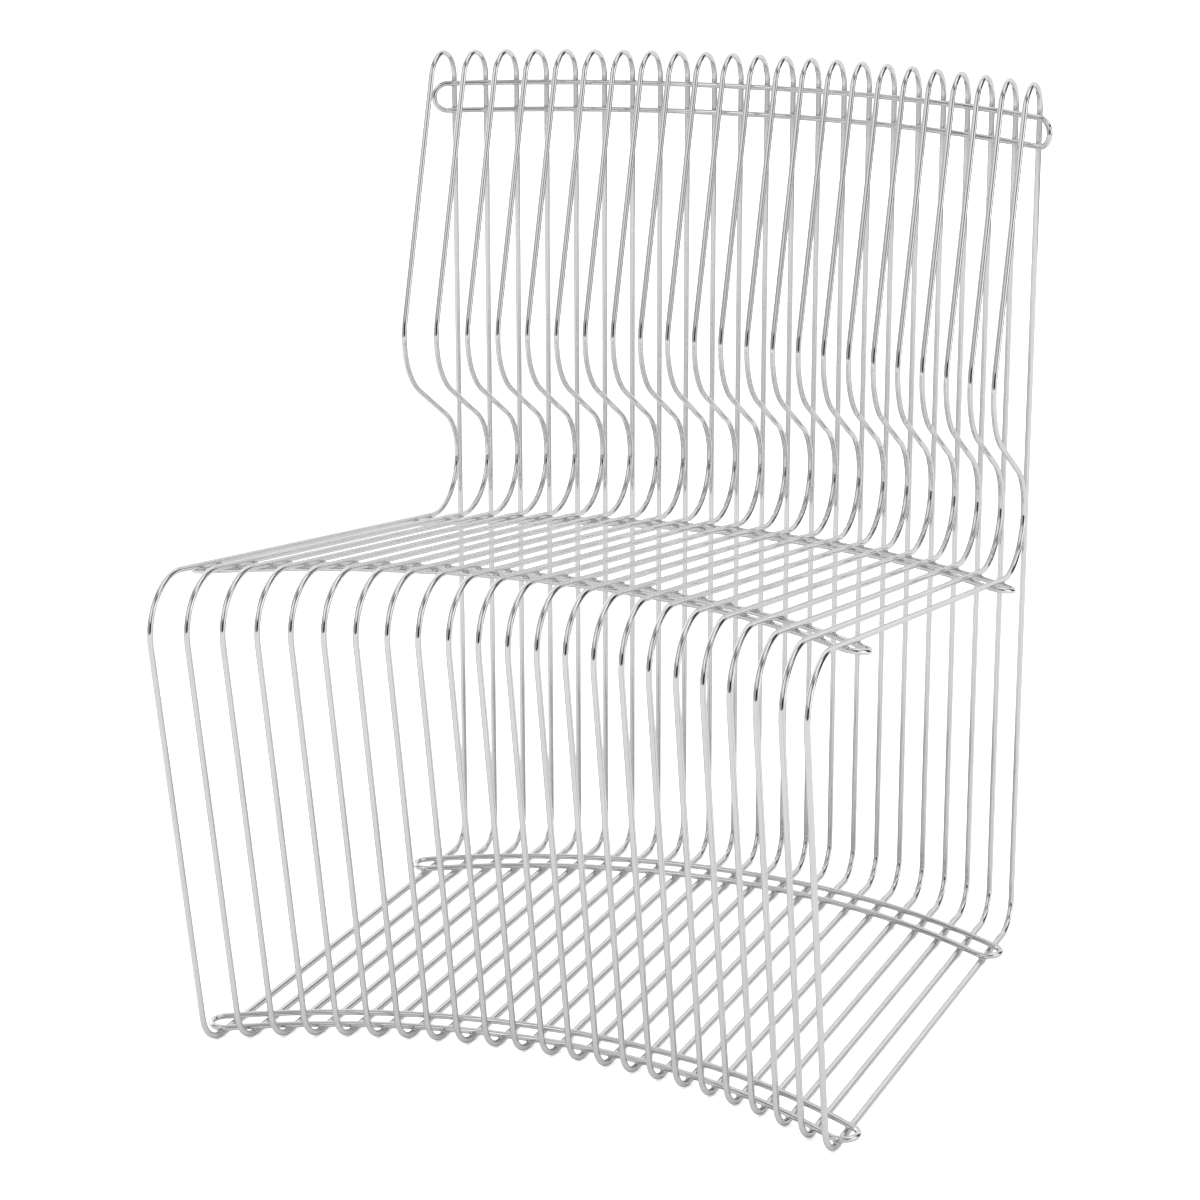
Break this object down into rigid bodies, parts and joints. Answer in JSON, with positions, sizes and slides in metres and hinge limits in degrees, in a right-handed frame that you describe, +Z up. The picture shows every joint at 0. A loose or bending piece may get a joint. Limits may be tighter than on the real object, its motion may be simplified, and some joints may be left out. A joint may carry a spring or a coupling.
{
  "type": "wire chair",
  "caption": "Low armless chair of parallel closed wire hoops stepped along an arc, with leaning back, sloping seat and open base, tied together by long wire loops, chrome plated.",
  "frame": {"origin": "on the floor, under the middle of the chair's overall box", "axes": "+Z up, -Y towards the front edge of the seat, +X along the row of hoops towards the sitter's left"},
  "size_m": [0.5596, 0.6336, 0.7437],
  "materials": {
    "chrome_wire": "polished"
  },
  "bodies": {
    "root": {"hoop_01": "chrome_wire", "hoop_02": "chrome_wire", "hoop_03": "chrome_wire", "hoop_04": "chrome_wire", "hoop_05": "chrome_wire", "hoop_06": "chrome_wire", "hoop_07": "chrome_wire", "hoop_08": "chrome_wire", "hoop_09": "chrome_wire", "hoop_10": "chrome_wire", "hoop_11": "chrome_wire", "hoop_12": "chrome_wire", "hoop_13": "chrome_wire", "hoop_14": "chrome_wire", "hoop_15": "chrome_wire", "hoop_16": "chrome_wire", "hoop_17": "chrome_wire", "hoop_18": "chrome_wire", "hoop_19": "chrome_wire", "hoop_20": "chrome_wire", "hoop_21": "chrome_wire", "hoop_22": "chrome_wire", "hoop_23": "chrome_wire", "top_back_rail": "chrome_wire", "seat_rear_rail": "chrome_wire", "seat_front_rail": "chrome_wire", "base_rear_rail": "chrome_wire", "base_front_rail": "chrome_wire"}
  },
  "joints": []
}
